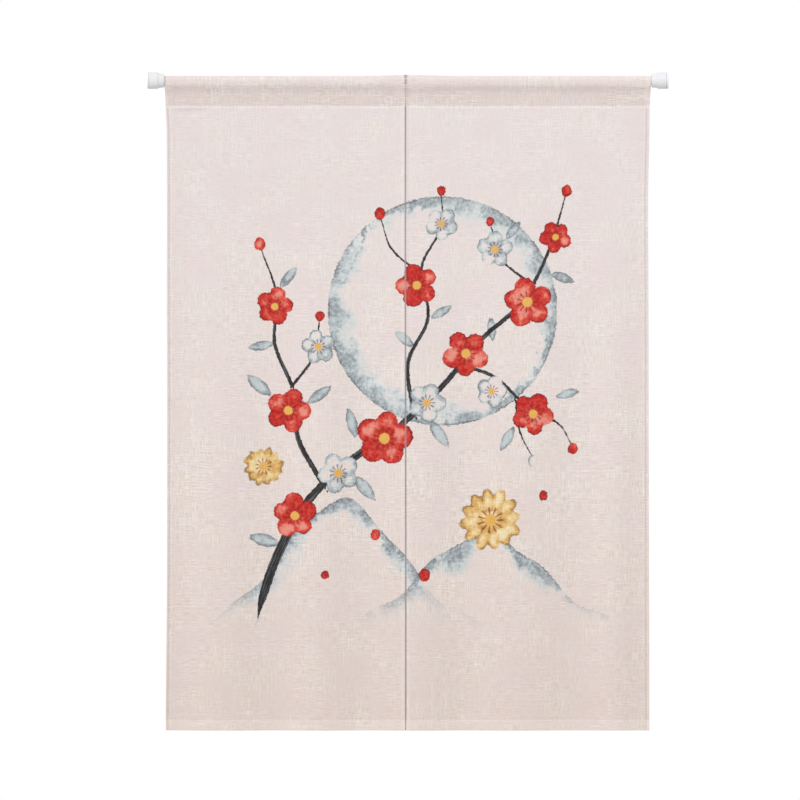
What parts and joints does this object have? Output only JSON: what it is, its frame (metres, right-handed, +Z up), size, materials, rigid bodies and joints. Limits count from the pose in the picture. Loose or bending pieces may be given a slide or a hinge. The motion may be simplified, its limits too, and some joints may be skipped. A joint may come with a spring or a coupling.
{
  "type": "noren curtain with tension rod",
  "caption": "Split doorway curtain of linen-look cloth with a rod pocket, hung on a white tension rod with capped ends.",
  "frame": {"origin": "on the rod's axis, halfway between the outer faces of its two feet", "axes": "+Z up, +X along the rod to the right as seen from the front, -Y towards the viewer"},
  "size_m": [0.932, 0.0296, 1.1758],
  "materials": {
    "linen_cloth": "matte slubbed weave",
    "white_enamel": "semi-gloss enamel",
    "white_plastic": "satin moulded",
    "grey_rubber": "matte"
  },
  "bodies": {
    "root": {"panel_left": "linen_cloth", "panel_right": "linen_cloth", "rod": "white_enamel", "cap_left": "white_plastic", "cap_right": "white_plastic", "foot_left": "grey_rubber", "foot_right": "grey_rubber"}
  },
  "joints": []
}
